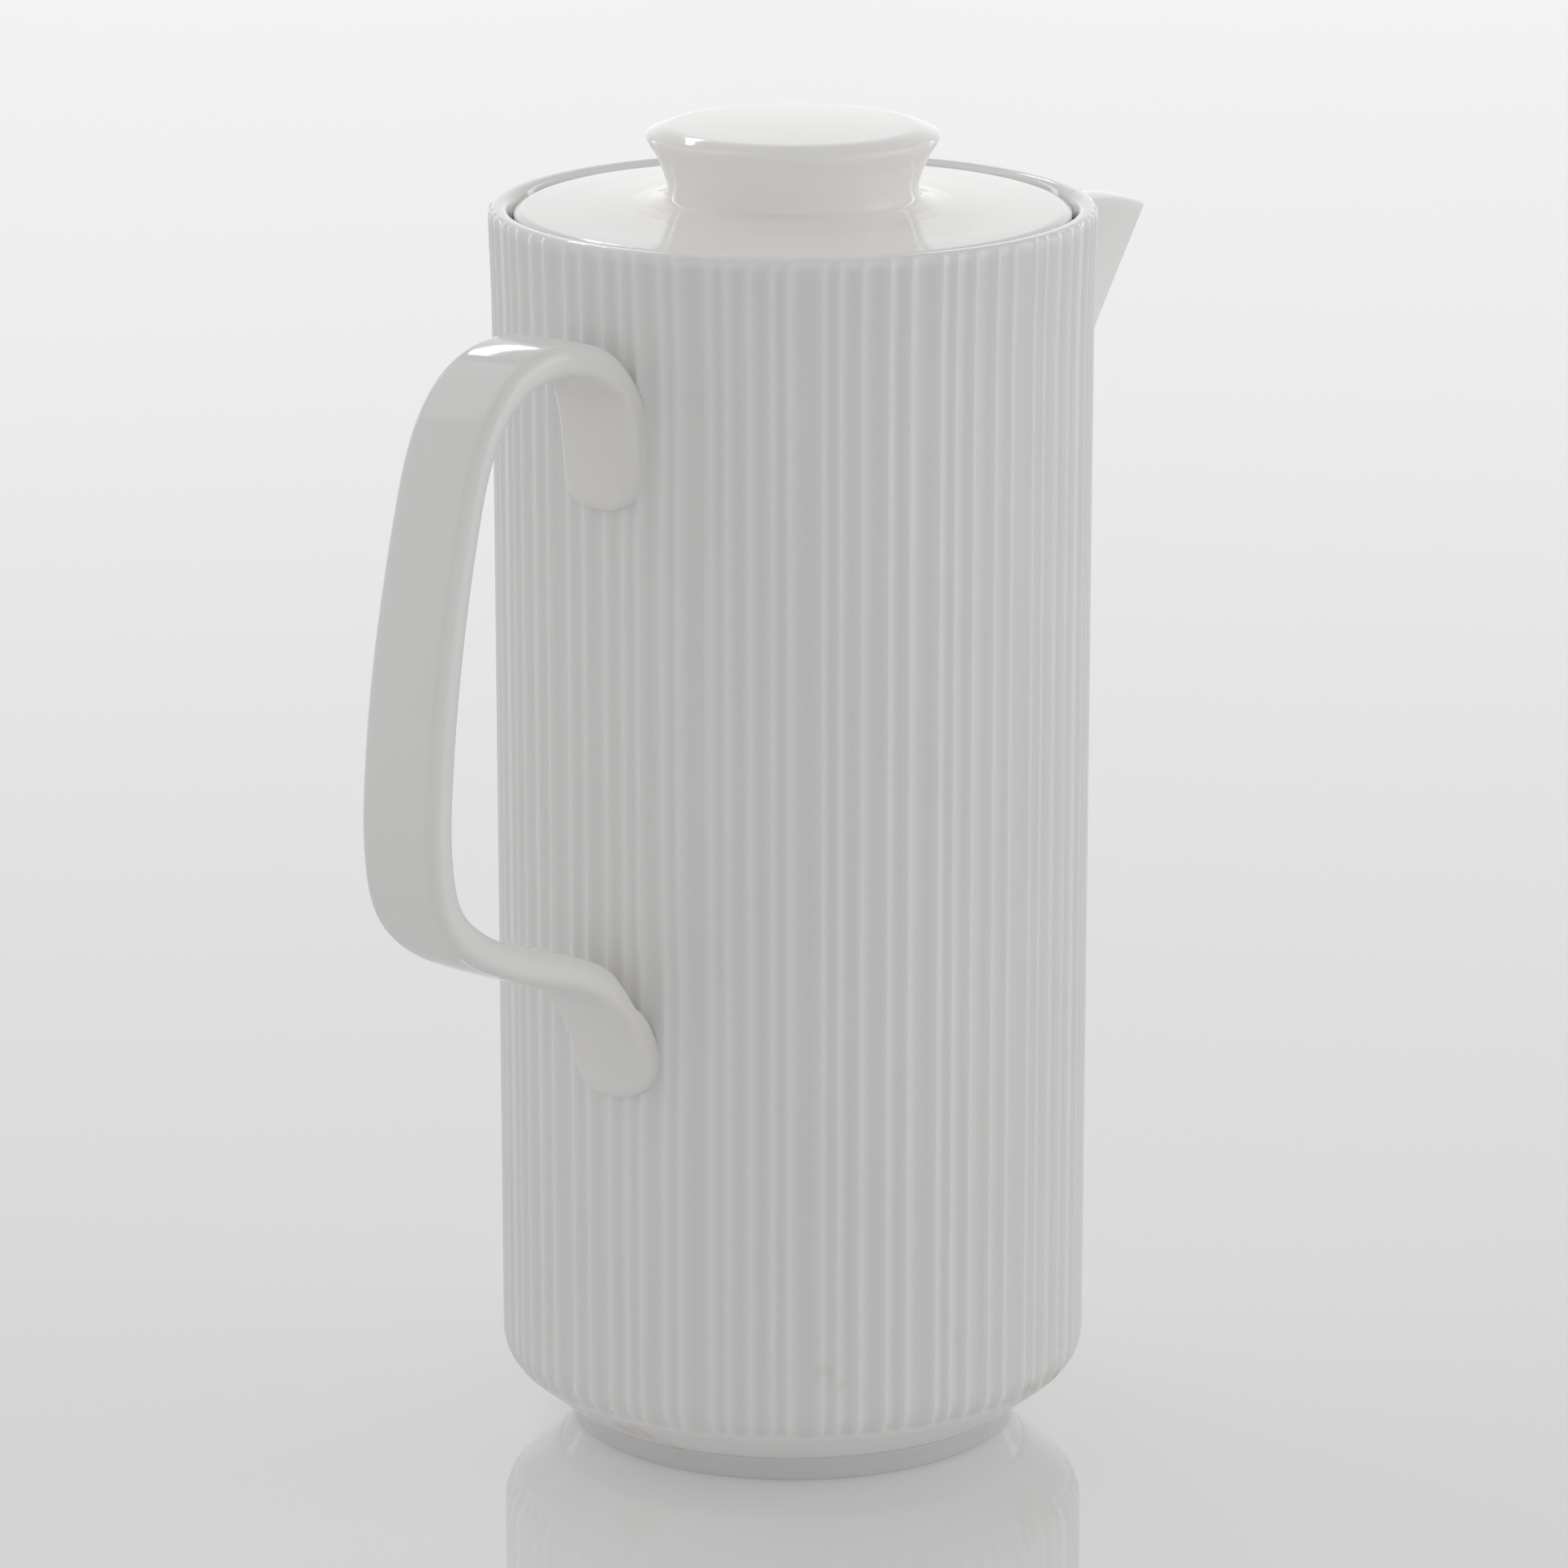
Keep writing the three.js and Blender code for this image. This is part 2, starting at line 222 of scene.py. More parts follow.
CREASE_R = FOOT_R + 0.6  # where the cone meets the foot ring
BODY_OUTSIDE = rounded([
    (CREASE_R - 1.2, BASE_Z, 0),
    (CREASE_R, BASE_Z, 0.3),
    (WALL_FOOT_R, BASE_Z + (WALL_FOOT_R - CREASE_R) * math.tan(CONE_ANGLE), CORNER_R),
    (BODY_R, RIM_Z - FLARE_H, 300),
    (RIM_R, RIM_Z, 1.35),
    (SEAT_LIP_R + 1.3, RIM_Z, 1.6),
    (SEAT_LIP_R, RIM_Z - 2.6, 1.2),
    (SEAT_LIP_R, LEDGE_Z + 1.2, 0.3),
    (GALLERY_R, LEDGE_Z - 0.2, 0.2),
], step=0.2)
CREST = int(np.argmax(BODY_OUTSIDE[:, 1]))


def ridge_radius(z):
    """Radius over the ridges at a height, on the outside of the body."""
    outside = BODY_OUTSIDE[: CREST + 1]
    return np.interp(z, outside[:, 1], outside[:, 0])


def wall_distance(p):
    """How far points lie outside the fluted wall."""
    azimuth = np.arctan2(p[..., 1], p[..., 0])
    return np.hypot(p[..., 0], p[..., 1]) - ridge_radius(p[..., 2]) + flute_depth(azimuth)


def soft_union(a, b, blend):
    """A smooth minimum of two distances, which rounds the inside corner between two shapes."""
    h = np.maximum(blend - np.abs(a - b), 0) / blend
    return np.minimum(a, b) - h * h * blend / 4


def smooth_step(t):
    t = np.clip(t, 0, 1)
    return t * t * (3 - 2 * t)


def first_outside(distance, start, direction, reach, steps=30):
    """For each ray, how far it goes before it is outside the shape; reach where it never is."""
    low = np.zeros(len(start))
    high = np.full(len(start), float(reach))
    found = np.zeros(len(start), bool)
    for t in np.linspace(0, reach, steps + 1)[1:]:
        outside = (distance(start + direction * t) > 0) & ~found
        high[outside] = t
        found |= outside
        low[~found] = t
    for _ in range(12):
        middle = (low + high) / 2
        outside = distance(start + direction * middle[:, None]) > 0
        high = np.where(found & outside, middle, high)
        low = np.where(found & ~outside, middle, low)
    return np.where(found, high, reach)


def out_of_inside(points):
    """Points moved out from the axis, so that what is let into the wall doesn't come through it."""
    radius = np.hypot(points[:, 0], points[:, 1])
    grow = np.maximum(SEAT_R / np.maximum(radius, 1), 1)
    return points * np.stack([grow, grow, np.ones(len(points))], axis=1)


# ---------------------------------------------------------------- handle

STRAP_W = HANDLE_HIGH[1] * 2
STRAP_T = 5.6
STRAP_FULLNESS = 0.22  # how far the middle of a face stands proud of its edges
HANDLE_REACH = -HANDLE_LOW[0]
UPPER_END_Z = 172.0
LOWER_END_Z = HANDLE_LOW[2]
STRAP_ROUND = 2.0  # radius of its edges
TONGUE = 8.0  # length of the rounded ends
TONGUE_POWER = 2.5  # 2 makes them elliptic, more makes them squarer
FILLET = 0.4  # of glaze round the pads
BENDS = ((22.0, 8.0, 0.4), (17.5, 9.0, 0.85))  # sharp inside bends: from the end, half length, depth
UPPER_THIN = 0.14  # share of the thickness that is missing where the strap is thinnest
UPPER_THIN_AT = 70.0  # distance from the upper end to there
UPPER_THIN_LONG = 28.0
HUG_FROM = 7.0  # the strap starts to bend round the wall this far out from it
HUG_OVER = 6.0  # and follows it fully this much nearer
END_RUN = 12.0  # length at each end where the rings stand close together
END_RINGS = 18
RING_STEP = 0.9
# The strap's middle line from its upper end: distance from the axis, height, and y.
STRAP_LINE = [
    (50.9, UPPER_END_Z, 0),
    (51.1, 182, 0),
    (52.7, 190.4, 0),
    (58.3, 197.7, 0),
    (67.3, 200.7, 0),
    (77.3, 199.9, 0),
    (84.9, 195.4, 0),
    (90.4, 187, 0),
    (94.6, 173.5, 0),
    (98.4, 156.5, 0),
    (100.8, 140.4, 0),
    (HANDLE_REACH - STRAP_T / 2 - 0.3, 125.4, 0),
    (99.5, 113.9, 0),
    (92.5, 106.6, 0),
    (80.8, 100.9, 0),
    (69, 97, 0),
    (61, 93.3, -0.4),
    (55, 87.2, -1.3),
    (51.9, 78.5, -2.1),
    (50.9, LOWER_END_Z, -2.4),
]


def catmull_rom(points, count):
    """A smooth line through points, with its own points evenly spaced."""
    points = np.array(points, float)
    ghost = np.vstack([2 * points[0] - points[1], points, 2 * points[-1] - points[-2]])
    line = []
    for a, b, c, d in zip(ghost, ghost[1:], ghost[2:], ghost[3:]):
        for t in np.linspace(0, 1, 30, endpoint=False):
            line.append(0.5 * (2 * b + (c - a) * t + (2 * a - 5 * b + 4 * c - d) * t**2
                               + (3 * b - a - 3 * c + d) * t**3))
    line.append(points[-1])
    line = np.array(line)
    return spaced(line, np.linspace(0, length_of(line), count))


def strap_section(half_width, half_thick):
    """The strap's outline as (across, out) points: a box with round edges and slightly full faces."""
    corner = max(min(STRAP_ROUND, half_thick * 0.85, half_width * 0.9), 1e-3)
    flat, side = half_width - corner, half_thick - corner
    face = np.array([(flat * share, half_thick) for share in np.linspace(-1, 1, 21)[1:-1]])
    edge = np.array([(half_width, side * share) for share in np.linspace(1, -1, 7)[1:-1]])
    turns = np.linspace(math.pi / 2, 0, 10)
    bend = np.stack([flat + corner * np.cos(turns), side + corner * np.sin(turns)], axis=1)
    for part in (face, bend):
        part[:, 1] += STRAP_FULLNESS * (1 - (part[:, 0] / half_width) ** 2) * np.sign(part[:, 1])
    return np.vstack([
        face, bend, edge, bend[::-1] * [1, -1],
        face[::-1] * [1, -1], bend * [-1, -1], edge * [-1, -1], bend[::-1] * [-1, 1],
    ])[::-1]


def strap_marks(total):
    """Distances along the strap, close together at its rounded ends."""
    close = END_RUN * (1 - np.cos(np.linspace(0, math.pi / 2, END_RINGS)))
    close[0] = 0.02
    middle = np.linspace(END_RUN, total - END_RUN, int((total - 2 * END_RUN) / RING_STEP))
    return np.concatenate([close, middle[1:-1], total - close[::-1]])


def strap_outline(mark, total):
    """The strap's outline at a distance from its upper end."""
    from_end = min(mark, total - mark)
    short = 1 - min(from_end / TONGUE, 1)
    half_width = STRAP_W / 2 * (1 - short**TONGUE_POWER) ** (1 / TONGUE_POWER)
    soft = 1 - min(from_end / STRAP_ROUND, 1)
    half_thick = STRAP_T / 2 * (0.88 + 0.12 * float(smooth_step(from_end / 20)))
    half_thick *= 1 - UPPER_THIN * math.exp(-((mark - UPPER_THIN_AT) / UPPER_THIN_LONG) ** 2)
    half_thick *= math.sqrt(max(1 - soft**2, 0.0004))
    outline = strap_section(half_width, half_thick)
    bend_at, half_length, depth = BENDS[0] if mark < total / 2 else BENDS[1]
    near_bend = max(0.0, 1 - abs(from_end - bend_at) / half_length)
    outline[outline[:, 1] > 0, 1] *= 1 - depth * near_bend**2
    return outline


def glaze_spread(ring, centre, lengthwise):
    """How far each point of a pad's ring moves out, along the wall, where the glaze fills its edge."""
    radial = ring * [1, 1, 0]
    radial /= np.linalg.norm(radial, axis=1)[:, None]
    away = ring - centre
    away -= radial * np.einsum("ij,ij->i", away, radial)[:, None]
    away += lengthwise
    away /= np.maximum(np.linalg.norm(away, axis=1), 1e-6)[:, None]
    near = np.clip(1 - wall_distance(ring) / FILLET, 0, 1)
    return away * (0.9 * FILLET * (1 - np.sqrt(1 - near**2)))[:, None]


def handle_mesh():
    line = catmull_rom([(-r, y, z) for r, z, y in STRAP_LINE], 900)
    total = length_of(line)
    along = np.linspace(0, total, len(line))
    tangents = np.gradient(line, axis=0)
    rings = []
    for mark in strap_marks(total):
        centre = np.array([np.interp(mark, along, line[:, i]) for i in range(3)])
        tangent = np.array([np.interp(mark, along, tangents[:, i]) for i in range(3)])
        tangent /= np.linalg.norm(tangent)
        side = np.array([0.0, 1.0, 0.0]) - tangent * tangent[1]
        side /= np.linalg.norm(side)
        normal = np.cross(tangent, side)
        outline = strap_outline(mark, total)
        ring = centre + outline[:, :1] * side + outline[:, 1:] * normal
        hug = float(smooth_step((BODY_R + HUG_FROM + centre[0]) / HUG_OVER))
        ring[:, 0] += hug * (BODY_R - np.sqrt(BODY_R**2 - ring[:, 1] ** 2))
        in_tongue = min(mark, total - mark) < TONGUE
        to_end = tangent if mark > total / 2 else -tangent
        rings.append(ring + glaze_spread(ring, centre, to_end * (0.5 * FILLET * in_tongue)))
    around = len(rings[0])
    last = (len(rings) - 1) * around
    faces = tube_faces(len(rings), around)
    faces.append(list(range(around))[::-1])
    faces.append([last + i for i in range(around)])
    return out_of_inside(np.vstack(rings)), faces


# ---------------------------------------------------------------- spout

SPOUT_TIP_X = SPOUT_HIGH[0]
SPOUT_LIP_Z = SPOUT_HIGH[2]
SPOUT_TIP_Z = 202.0
SPOUT_ROOT_Z = SPOUT_LOW[2] - 1
SPOUT_HALF_W = 30.0  # at the rim, where the spout joins the wall
SPOUT_BOW = 3.2  # how far its keel curves in
SPOUT_WALL = 3.2
SPOUT_NOSE_R = 1.7  # of the keel, outside
CHANNEL_NOSE_R = 1.2  # of the keel, inside
SPOUT_BLEND = 4.0  # how widely its foot blends into the wall


def spout_plan(z, inset):
    """The wedge at a height: its half angle, the middle of its nose and the nose's radius."""
    rise = np.clip((z - SPOUT_ROOT_Z) / (RIM_Z - SPOUT_ROOT_Z), 0.002, None)
    keel = (z - SPOUT_ROOT_Z) / (SPOUT_TIP_Z - SPOUT_ROOT_Z)
    bow = SPOUT_BOW * np.sin(math.pi * np.clip(keel, 0, 1))
    reach = BODY_R + (SPOUT_TIP_X - BODY_R) * keel - bow
    half = SPOUT_HALF_W * rise
    root_x = np.sqrt(BODY_R**2 - np.minimum(half, BODY_R - 1) ** 2)
    angle = np.arctan2(half, np.maximum(reach - root_x, 0.5))
    nose_r = CHANNEL_NOSE_R if inset else SPOUT_NOSE_R
    middle = reach - inset / np.maximum(np.sin(angle), 0.5) - nose_r
    return angle, middle, nose_r


def spout_distance(p):
    """How far points lie outside the spout's wedge."""

    def level_distance(z):
        angle, middle, nose_r = spout_plan(z, 0)
        x, y = p[..., 0] - middle, np.abs(p[..., 1])
        flank = x * np.sin(angle) + y * np.cos(angle)
        beyond = x * np.cos(angle) - y * np.sin(angle) > 0
        return np.where(beyond, np.hypot(x, y), flank) - nose_r

    here = level_distance(p[..., 2])
    slope = (level_distance(p[..., 2] + 0.1) - here) / 0.1
    below = SPOUT_ROOT_Z - p[..., 2]
    return np.maximum(here / np.sqrt(1 + slope**2), below)


def spout_and_wall(p):
    return soft_union(spout_distance(p), wall_distance(p), SPOUT_BLEND) + 0.02


def spout_point(q, z, inset):
    """A point on the wedge: q runs from -1 at the wall, over 0 at the nose, to 1 at the wall."""
    angle, middle, nose_r = spout_plan(z, inset)
    sweep = math.pi / 2 - angle
    tangent_x = middle + nose_r * math.cos(sweep)
    tangent_y = nose_r * math.sin(sweep)
    arc = nose_r * sweep
    ahead = tangent_x * math.cos(angle) - tangent_y * math.sin(angle)
    flank = ahead - math.sqrt(max(ahead**2 - tangent_x**2 - tangent_y**2 + SEAT_R**2, 0))
    spread = 0.55 * abs(q) + 0.45 * (1 - math.cos(math.pi * abs(q))) / 2
    far = spread * (arc + max(flank, 0.1))
    if far < arc:
        turn = far / nose_r
        x, y = middle + nose_r * math.cos(turn), nose_r * math.sin(turn)
    else:
        x = tangent_x - (far - arc) * math.cos(angle)
        y = tangent_y + (far - arc) * math.sin(angle)
    return np.array([x, math.copysign(y, q) if q else 0.0, z])


def lip_height(x):
    root_x = math.sqrt(BODY_R**2 - SPOUT_HALF_W**2)
    share = (x - root_x) / (SPOUT_TIP_X - root_x)
    crown = 0.9 * math.sin(math.pi * min(max(share, 0), 1))
    return SPOUT_LIP_Z + (SPOUT_TIP_Z - SPOUT_LIP_Z) * share + crown


def spout_mesh(half_count=44, levels=56, lip_steps=7):
    qs = np.concatenate([-np.linspace(1, 0, half_count), np.linspace(0, 1, half_count)[1:]])
    low = SPOUT_ROOT_Z + 0.4
    lip = SPOUT_WALL / 2
    tops = []
    for q in qs:
        top = SPOUT_TIP_Z
        for _ in range(12):
            middle = (spout_point(q, top - lip, 0) + spout_point(q, top - lip, SPOUT_WALL)) / 2
            top = lip_height(middle[0])
        tops.append(top)
    outside, inside = [], []
    for level in range(levels + 1):
        share = level / levels
        row_out, row_in = [], []
        for q, top in zip(qs, tops):
            z = low + (top - lip - low) * share
            row_out.append(spout_point(q, z, 0))
            row_in.append(spout_point(q, z, SPOUT_WALL))
        outside.append(row_out)
        inside.append(row_in)
    outside, inside = np.array(outside), np.array(inside)
    flat = outside.reshape(-1, 3)
    step = 0.05
    grad = np.stack([spout_distance(flat + step * axis) - spout_distance(flat - step * axis)
                     for axis in np.eye(3)], axis=1)
    grad /= np.linalg.norm(grad, axis=1)[:, None]
    start = flat - grad * 0.3
    grow = first_outside(spout_and_wall, start, grad, 4.0, steps=24)
    grow = np.where(wall_distance(flat) < -1.0, 0.3, grow)
    outside = (start + grad * grow[:, None]).reshape(outside.shape)
    out_top, in_top = outside[-1], inside[-1]
    middle, half = (out_top + in_top) / 2, (out_top - in_top) / 2
    lips_out, lips_in = [], []
    for i in range(1, lip_steps + 1):
        angle = math.pi / 2 * i / lip_steps
        rise = np.array([0, 0, lip * math.sin(angle)])
        lips_out.append(middle + half * math.cos(angle) + rise)
        lips_in.append(middle - half * math.cos(angle) + rise)
    across = len(qs)
    rows = list(outside) + lips_out + lips_in[-2::-1] + list(inside[::-1])
    points = out_of_inside(np.vstack(rows))
    faces = []
    count = len(rows)
    for level in range(count - 1):
        for i in range(across - 1):
            a, b = level * across + i, (level + 1) * across + i
            faces.append((a, a + 1, b + 1, b))
    last = (count - 1) * across
    for i in range(across - 1):
        faces.append((last + i, last + i + 1, i + 1, i))
    for edge in (0, across - 1):
        loop = [level * across + edge for level in range(count)]
        faces.append(tuple(loop if edge == 0 else loop[::-1]))
    return points, faces


# ---------------------------------------------------------------- body

BODY_INSIDE = rounded([
    (GALLERY_R, LEDGE_Z - 0.2, 0),
    (INNER_R, LEDGE_Z - 0.8, 0),
    (INNER_R, FLOOR_Z, 8),
    (0, FLOOR_Z, 0),
], step=2.5)
SMOOTH_RIM = 1.2  # height of the smooth rim, over the flutes
FLUTE_END_Z = 11.3
FLUTE_TOP_Z = RIM_Z - 0.05
FOOT_FADE = 1.1  # length over which the flutes fade out at each end
RIM_FADE = 1.4
RIM_STEP = 0.36  # from one row of points to the next
UNDER_RIM_STEP = 1.5
WALL_STEP = 8.0
SCALLOP_STEP = 0.4
CONE_STEP = 1.1


def body_rows():
    """Marks along the outside of the body's profile, close where it turns and where flutes end."""
    along = np.concatenate([[0], np.cumsum(np.linalg.norm(np.diff(BODY_OUTSIDE, axis=0), axis=1))])
    total = along[-1]
    crest = along[CREST]
    rows, mark = [], 0.0
    while mark < total:
        rows.append(mark)
        z = np.interp(mark, along, BODY_OUTSIDE[:, 1])
        if mark > crest - 3.0:
            mark += RIM_STEP
        elif mark > crest - 9.0:
            mark += UNDER_RIM_STEP
        elif z > 17.5:
            mark = min(mark + WALL_STEP, crest - 2.9)
        elif z > FLUTE_END_Z - 1:
            mark += SCALLOP_STEP
        else:
            mark += CONE_STEP
    rows.append(total)
    return np.array(rows)


def body_mesh():
    marks = body_rows()
    line = spaced(BODY_OUTSIDE, marks)
    tangent = spaced(BODY_OUTSIDE, marks + 0.05) - spaced(BODY_OUTSIDE, marks - 0.05)
    tangent /= np.linalg.norm(tangent, axis=1)[:, None]
    normal = np.stack([tangent[:, 1], -tangent[:, 0]], axis=1)
    crest = int(np.argmax(line[:, 1]))
    start = np.interp(FLUTE_END_Z, line[: crest + 1, 1], marks[: crest + 1])
    end = np.interp(FLUTE_TOP_Z, line[: crest + 1, 1], marks[: crest + 1])
    azimuth = np.concatenate([
        low + (high - low) * np.array(COLUMNS_A_FLUTE) for low, high in zip(EDGES, EDGES[1:])
    ])
    across, width = flute_place(azimuth + 1e-9)
    depth = flute_depth(azimuth + 1e-9)
    arch = 0.35 * width * (1 - np.sqrt(np.clip(1 - (2 * across - 1) ** 2, 0, 1)))
    scallop = start + arch - 0.25 * (width - MIDDLING_WIDTH)
    begun = smooth_step((marks[:, None] - scallop) / FOOT_FADE)
    sunk = depth * begun * smooth_step((end - marks[:, None]) / RIM_FADE)
    radius = line[:, :1] - normal[:, :1] * sunk
    height = line[:, 1:] - normal[:, 1:] * sunk
    outside = np.stack([radius * np.cos(azimuth), radius * np.sin(azimuth), height], axis=2)
    inner = BODY_INSIDE[1:-1]
    inside = np.stack([
        inner[:, :1] * np.cos(azimuth),
        inner[:, :1] * np.sin(azimuth),
        np.repeat(inner[:, 1:], len(azimuth), axis=1),
    ], axis=2)
    rings = np.concatenate([outside, inside])
    count, columns = rings.shape[:2]
    points = [*rings.reshape(-1, 3), (0, 0, BASE_Z), (0, 0, FLOOR_Z)]
    faces = tube_faces(count, columns)
    under, over = count * columns, count * columns + 1
    last = (count - 1) * columns
    for i in range(columns):
        j = (i + 1) % columns
        faces.append((under, j, i))
        faces.append((over, last + i, last + j))
    return np.array(points), faces


HOLE_Z = 184.0  # middle of the pouring hole
HOLE_HALF_H = 19.0
HOLE_HALF_W = 11.0
HOLE_TOP_WIDER = 3.5


# Distance from the axis, and how much wider the hole is there: it is rounded at both faces.
HOLE_SECTIONS = (
    (44, 2.0), (46.6, 0.9), (47.2, 0.35), (48, 0.06), (49, 0), (49.8, 0.06), (50.6, 0.35),
    (51.2, 0.9), (53.5, 2.4),
)


def hole_cutter(steps=72):
    """An egg-shaped plug that flares where it leaves the wall, to round the pouring hole's edge."""
    points = []
    for x, flare in HOLE_SECTIONS:
        for i in range(steps):
            angle = 2 * math.pi * i / steps
            y = (HOLE_HALF_W + HOLE_TOP_WIDER * math.sin(angle)) * math.cos(angle)
            z = HOLE_HALF_H * math.sin(angle)
            size = 1 + flare / math.hypot(y, z)
            sag = BODY_R - math.sqrt(BODY_R**2 - (y * size) ** 2)
            points.append((x - sag, y * size, HOLE_Z + z * size))
    last = len(points) - steps
    faces = tube_faces(len(HOLE_SECTIONS), steps)
    faces.append(list(range(steps))[::-1])
    faces.append([last + i for i in range(steps)])
    return points, faces


# ---------------------------------------------------------------- foot, ledge and lid

FOOT_PROFILE = rounded([
    (CREASE_R - 0.15, BASE_Z + 0.5, 0),
    (CREASE_R - 0.5, BASE_Z - 0.6, 1.5),
    (CREASE_R - 1.5, 2.8, 6),
    (CREASE_R - 2.6, 0.4, 1.2),
    (CREASE_R - 3.4, 0.0, 0.8),
    (34.5, 0.0, 0.7),
    (33.9, 0.7, 1.0),
    (33.5, BASE_Z - 0.3, 1.2),
    (32.6, BASE_Z + 0.4, 0),
    (36, BASE_Z + 1.0, 0),
], step=0.25)
LEDGE_PROFILE = rounded([
    (INNER_R + 0.2, LEDGE_Z - 0.1, 0),
    (46.2, LEDGE_Z - 0.1, 0.3),
    (44.4, LEDGE_Z - 0.3, 0.8),
    (44.6, LEDGE_Z - 2.6, 1.2),
    (46.6, LEDGE_Z - 4.6, 3),
    (INNER_R + 0.2, LEDGE_Z - 4.8, 0),
], step=0.25)
NECK_R = 21.4
BORE_R = 17.5
PLATE_Z = LID_HIGH[2]  # top of the lid's plate, at the neck
KNOB_Z = TOP_Z - 2.55  # widest part of the knob
DISC_PROFILE = rounded([
    (BORE_R, PLATE_Z - 0.05, 0),
    (BORE_R, LID_LOW[2] + 1.4, 0.5),
    (39.2, LID_LOW[2] + 1.4, 1),
    (40.2, LID_LOW[2], 0.8),
    (LID_R - 0.9, LID_LOW[2], 0.5),
    (LID_R - 0.02, LID_LOW[2] + 1.2, 0.8),
    (LID_R - 0.02, PLATE_Z - 1.7, 0.5),
    (LID_R - 1.3, PLATE_Z - 1.0, 1.6),
    (38, PLATE_Z - 0.8, 30),
    (NECK_R + 3.5, PLATE_Z - 0.2, 12),
    (20.5, PLATE_Z - 0.05, 0),
], step=0.25)
COLLAR_PROFILE = rounded([
    (43.7, LID_LOW[2] + 0.2, 0),
    (43.7, COLLAR_LOW[2] + 5, 20),
    (43.1, COLLAR_LOW[2] + 0.02, 1.0),
    (40.9, COLLAR_LOW[2] + 0.02, 1.0),
    (40.7, COLLAR_LOW[2] + 5, 20),
    (40.6, LID_LOW[2] + 0.8, 0),
], step=0.25)
KNOB_PROFILE = rounded([
    (0, TOP_Z, 0),
    (KNOB_R - 3.2, TOP_Z - 0.55, 8),
    (KNOB_R + 0.15, TOP_Z - 1.9, 0.7),
    (KNOB_R - 0.02, KNOB_Z - 0.4, 0.6),
    (KNOB_R - 1.8, KNOB_Z - 3.2, 6),
    (KNOB_R - 3.0, KNOB_Z - 6.4, 8),
    (NECK_R, PLATE_Z + 3.2, 6),
    (NECK_R + 0.1, PLATE_Z + 0.9, 1.8),
    (NECK_R + 3.4, PLATE_Z - 0.04, 2.8),
    (NECK_R + 7.8, PLATE_Z - 0.47, 0),
    (NECK_R + 9.0, PLATE_Z - 0.59, 0),
    (20.5, PLATE_Z - 1.2, 0),
    (BORE_R + 0.1, PLATE_Z - 0.4, 0.3),
    (BORE_R, PLATE_Z + 1.2, 0.5),
    (BORE_R, TOP_Z - 6.2, 3),
    (9, TOP_Z - 4.2, 14),
    (0, TOP_Z - 3.9, 0),
], step=0.25)


# ---------------------------------------------------------------- glazes

FLUTE_SHADE_TINT = (0.905, 0.908, 0.908, 1)  # painted shade: the hollows of the flutes are darker
SPECK_COLOUR = (0.25, 0.22, 0.18, 1)
SPECK_CELLS = 95.0  # cells a metre, of which few hold a speck
SPECKS_OVER = 0.955  # a cell's random number has to be over this
SPECK_SIZE = 0.055  # largest, as a share of a cell
STAIN_COLOUR = (0.56, 0.46, 0.30, 1)
STAIN_HEIGHTS = (0.010, 0.045)  # stains fade out between these, in metres
GLAZE_IOR = 1.52
WAVE_HEIGHT = 0.0001  # of the glaze's waviness, in metres


def add_node(tree, kind, at=(0, 0), **settings):
    node = tree.nodes.new(kind)
    node.location = at
    for name, value in settings.items():
        setattr(node, name, value)
    return node


def feed(tree, socket, value):
    """Links a socket to another node's output, or gives it a plain value."""
    if isinstance(value, bpy.types.NodeSocket):
        tree.links.new(value, socket)
    else:
        socket.default_value = value


def math_node(tree, operation, at, first, second):
    node = add_node(tree, "ShaderNodeMath", at, operation=operation)
    feed(tree, node.inputs[0], first)
    feed(tree, node.inputs[1], second)
    return node.outputs["Value"]


def noise_node(tree, place, at, scale, detail, roughness=0.5):
    node = add_node(tree, "ShaderNodeTexNoise", at)
    node.inputs["Scale"].default_value = scale
    node.inputs["Detail"].default_value = detail
    node.inputs["Roughness"].default_value = roughness
    tree.links.new(place, node.inputs["Vector"])
    return node.outputs["Fac"]


def range_node(tree, value, at, before, after):
    """A value moved from one range to another."""
    node = add_node(tree, "ShaderNodeMapRange", at)
    for socket, number in zip(("From Min", "From Max", "To Min", "To Max"), (*before, *after)):
        node.inputs[socket].default_value = number
    tree.links.new(value, node.inputs["Value"])
    return node.outputs["Result"]


def mix_node(tree, share, at, first, second, blend="MIX"):
    node = add_node(tree, "ShaderNodeMix", at, data_type="RGBA", blend_type=blend)
    feed(tree, node.inputs["Factor"], share)
    feed(tree, node.inputs["A"], first)
    feed(tree, node.inputs["B"], second)
    return node.outputs["Result"]


def grey(value, warmth=0.0):
    return (value * (1 + warmth), value, value * (1 - warmth), 1)


def speck_share(tree, place, strength):
    """Small dots in a few cells of a cell pattern, each of its own size."""
    cells = add_node(tree, "ShaderNodeTexVoronoi", (-1200, -100))
    cells.inputs["Scale"].default_value = SPECK_CELLS
    tree.links.new(place, cells.inputs["Vector"])
    chance = add_node(tree, "ShaderNodeSeparateColor", (-1150, -350))
    tree.links.new(cells.outputs["Color"], chance.inputs["Color"])
    size = range_node(tree, chance.outputs["Red"], (-1000, -400), (SPECKS_OVER, 1.0), (0.0, SPECK_SIZE))
    dot = math_node(tree, "LESS_THAN", (-800, -150), cells.outputs["Distance"], size)
    return math_node(tree, "MULTIPLY", (-650, -150), dot, strength)


